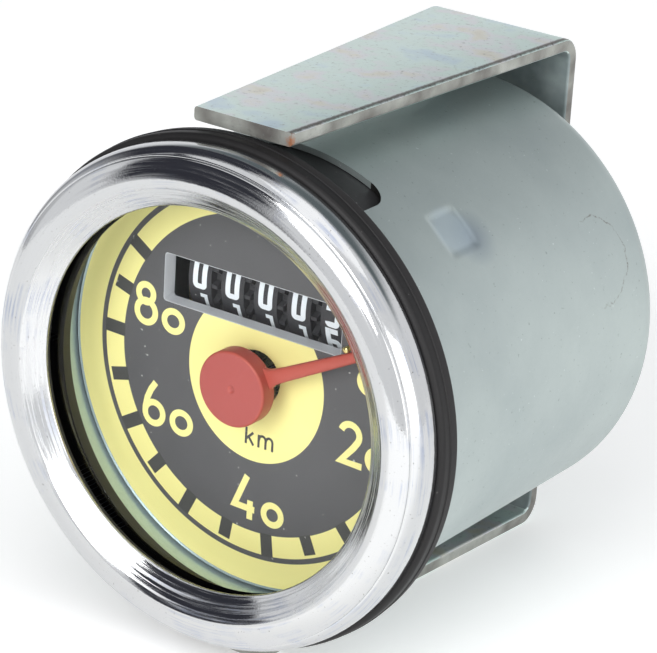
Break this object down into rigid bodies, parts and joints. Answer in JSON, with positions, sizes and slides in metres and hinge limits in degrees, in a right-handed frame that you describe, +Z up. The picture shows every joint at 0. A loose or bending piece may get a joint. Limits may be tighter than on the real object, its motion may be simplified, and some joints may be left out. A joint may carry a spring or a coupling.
{
  "type": "mechanical speedometer",
  "caption": "Round panel-mount mechanical speedometer with chrome bezel, black dial with yellow rim band, red pointer, distance counter and a U-shaped rear clamp bracket.",
  "frame": {"origin": "centre of the case's flat rear outer face, where the cable neck starts, on the pointer's axis", "axes": "+X to the dial's right as it is read, +Y from the dial to the rear along the pointer's axis, +Z up towards the dial's top and the upper leg of the bracket"},
  "size_m": [0.0674, 0.0805, 0.0716],
  "materials": {
    "case_zinc": "zinc-plated pressed sheet steel, dull grey with fine specks",
    "bezel_chrome": "polished chrome over pressed brass sheet",
    "clear_glass": "flat clear glass",
    "black_rubber": "matte black rubber, slightly aged",
    "dial_enamel": "matte black paint with a yellow rim band and yellow numerals",
    "grey_paint": "light grey matte paint",
    "pointer_red": "red, slightly faded, satin",
    "bright_steel": "turned bright steel",
    "brass": "plain turned or stamped brass",
    "bronze": "sintered bronze, dull",
    "cup_aluminium": "spun aluminium, bright",
    "keeper_iron": "soft iron, dull grey",
    "magnet_alloy": "cast magnet alloy, ground dark grey",
    "cast_zinc": "die-cast zinc alloy, light grey",
    "black_plastic": "black moulded plastic with white digits",
    "white_plastic": "off-white moulded plastic",
    "passivated_zinc": "zinc plate with a clear blue passivation, scratched"
  },
  "bodies": {
    "housing": {"case": "case_zinc", "bezel": "bezel_chrome", "glass": "clear_glass", "glass_gasket": "black_rubber", "rubber_ring": "black_rubber", "dial": "dial_enamel", "dial_posts": "bright_steel", "window_frame": "grey_paint", "stop_pin": "brass", "spring_anchor": "brass", "spindle_bush": "bronze", "front_plate": "brass", "rear_plate": "brass", "plate_pillars": "brass", "keeper_ring": "keeper_iron", "front_drive_bush": "bronze", "rear_drive_bush": "bronze", "base_casting": "cast_zinc", "rear_plate_posts": "brass", "plate_screws": "bright_steel", "counter_cheek_left": "brass", "counter_cheek_right": "brass", "cheek_screws": "bright_steel", "counter_axle": "bright_steel", "pinion_shaft": "bright_steel", "clamp_studs": "passivated_zinc"},
    "pointer": {"pointer": "pointer_red", "pointer_spindle": "bright_steel", "hairspring": "bronze", "spring_collet": "brass", "speed_cup": "cup_aluminium"},
    "drive": {"drive_shaft": "bright_steel", "drive_worm": "bright_steel", "magnet": "magnet_alloy"},
    "cross": {"cross_shaft": "bright_steel", "cross_wheel": "brass", "cross_worm": "bright_steel"},
    "lay": {"layshaft": "bright_steel", "lay_wheel": "brass", "lay_worm": "bright_steel"},
    "wheel_5": {"number_wheel_5": "black_plastic", "counter_gear": "white_plastic"},
    "wheel_4": {"number_wheel_4": "black_plastic"},
    "wheel_3": {"number_wheel_3": "black_plastic"},
    "wheel_2": {"number_wheel_2": "black_plastic"},
    "wheel_1": {"number_wheel_1": "black_plastic"},
    "pinion_4": {"carry_pinion_4": "white_plastic"},
    "pinion_3": {"carry_pinion_3": "white_plastic"},
    "pinion_2": {"carry_pinion_2": "white_plastic"},
    "pinion_1": {"carry_pinion_1": "white_plastic"},
    "bracket": {"bracket": "passivated_zinc", "spring_washers": "passivated_zinc"},
    "nut_upper": {"nut_upper": "passivated_zinc"},
    "nut_lower": {"nut_lower": "passivated_zinc"}
  },
  "joints": [
    {"name": "pointer_turn", "type": "hinge", "parent": "housing", "child": "pointer", "pos_m": [0, -0.04, 0], "axis": [0, 1, 0], "range_deg": [0, 352], "stiffness_Nm_per_rad": 0.00001, "springref_deg": -20.05, "deforming": ["hairspring"]},
    {"name": "drive_spin", "type": "hinge", "parent": "housing", "child": "drive", "pos_m": [0, -0.01, 0], "axis": [0, 1, 0], "continuous": true},
    {"name": "cross_spin", "type": "hinge", "parent": "housing", "child": "cross", "pos_m": [0, -0.0105, -0.00775], "axis": [1, 0, 0], "continuous": true},
    {"name": "lay_spin", "type": "hinge", "parent": "housing", "child": "lay", "pos_m": [0.017, -0.025, 0.00175], "axis": [0, 1, 0], "continuous": true},
    {"name": "wheel_5_turn", "type": "hinge", "parent": "housing", "child": "wheel_5", "pos_m": [0.0094, -0.0399, 0.00965], "axis": [1, 0, 0], "continuous": true},
    {"name": "wheel_4_turn", "type": "hinge", "parent": "housing", "child": "wheel_4", "pos_m": [0.0042, -0.0399, 0.00965], "axis": [1, 0, 0], "continuous": true},
    {"name": "wheel_3_turn", "type": "hinge", "parent": "housing", "child": "wheel_3", "pos_m": [-0.001, -0.0399, 0.00965], "axis": [1, 0, 0], "continuous": true},
    {"name": "wheel_2_turn", "type": "hinge", "parent": "housing", "child": "wheel_2", "pos_m": [-0.0062, -0.0399, 0.00965], "axis": [1, 0, 0], "continuous": true},
    {"name": "wheel_1_turn", "type": "hinge", "parent": "housing", "child": "wheel_1", "pos_m": [-0.0114, -0.0399, 0.00965], "axis": [1, 0, 0], "continuous": true},
    {"name": "pinion_4_turn", "type": "hinge", "parent": "housing", "child": "pinion_4", "pos_m": [0.0068, -0.0336, 0.01716], "axis": [1, 0, 0], "continuous": true},
    {"name": "pinion_3_turn", "type": "hinge", "parent": "housing", "child": "pinion_3", "pos_m": [0.0016, -0.0336, 0.01716], "axis": [1, 0, 0], "continuous": true},
    {"name": "pinion_2_turn", "type": "hinge", "parent": "housing", "child": "pinion_2", "pos_m": [-0.0036, -0.0336, 0.01716], "axis": [1, 0, 0], "continuous": true},
    {"name": "pinion_1_turn", "type": "hinge", "parent": "housing", "child": "pinion_1", "pos_m": [-0.0088, -0.0336, 0.01716], "axis": [1, 0, 0], "continuous": true},
    {"name": "bracket_slide", "type": "slide", "parent": "housing", "child": "bracket", "axis": [0, 1, 0], "range_m": [-0.003, 0.006]},
    {"name": "nut_upper_turn", "type": "hinge", "parent": "bracket", "child": "nut_upper", "pos_m": [0, 0.0084, 0.017], "axis": [0, 1, 0], "range_deg": [-1350, 2700]},
    {"name": "nut_lower_turn", "type": "hinge", "parent": "bracket", "child": "nut_lower", "pos_m": [0, 0.0084, -0.017], "axis": [0, 1, 0], "range_deg": [-1350, 2700]}
  ],
  "couplings": [
    {"joint": "cross_spin", "follows": "drive_spin", "ratio": 0.05},
    {"joint": "lay_spin", "follows": "drive_spin", "ratio": 0.0017857},
    {"joint": "wheel_5_turn", "follows": "drive_spin", "ratio": -0.000081169},
    {"joint": "wheel_4_turn", "follows": "drive_spin", "ratio": -0.0000081169},
    {"joint": "wheel_3_turn", "follows": "drive_spin", "ratio": -0.00000081169},
    {"joint": "wheel_2_turn", "follows": "drive_spin", "ratio": -0.000000081169},
    {"joint": "wheel_1_turn", "follows": "drive_spin", "ratio": -0.0000000081169},
    {"joint": "pinion_4_turn", "follows": "drive_spin", "ratio": 0.000020292},
    {"joint": "pinion_3_turn", "follows": "drive_spin", "ratio": 0.0000020292},
    {"joint": "pinion_2_turn", "follows": "drive_spin", "ratio": 0.00000020292},
    {"joint": "pinion_1_turn", "follows": "drive_spin", "ratio": 0.000000020292},
    {"joint": "nut_upper_turn", "follows": "bracket_slide", "rad_per_m": 7854},
    {"joint": "nut_lower_turn", "follows": "bracket_slide", "rad_per_m": 7854}
  ]
}
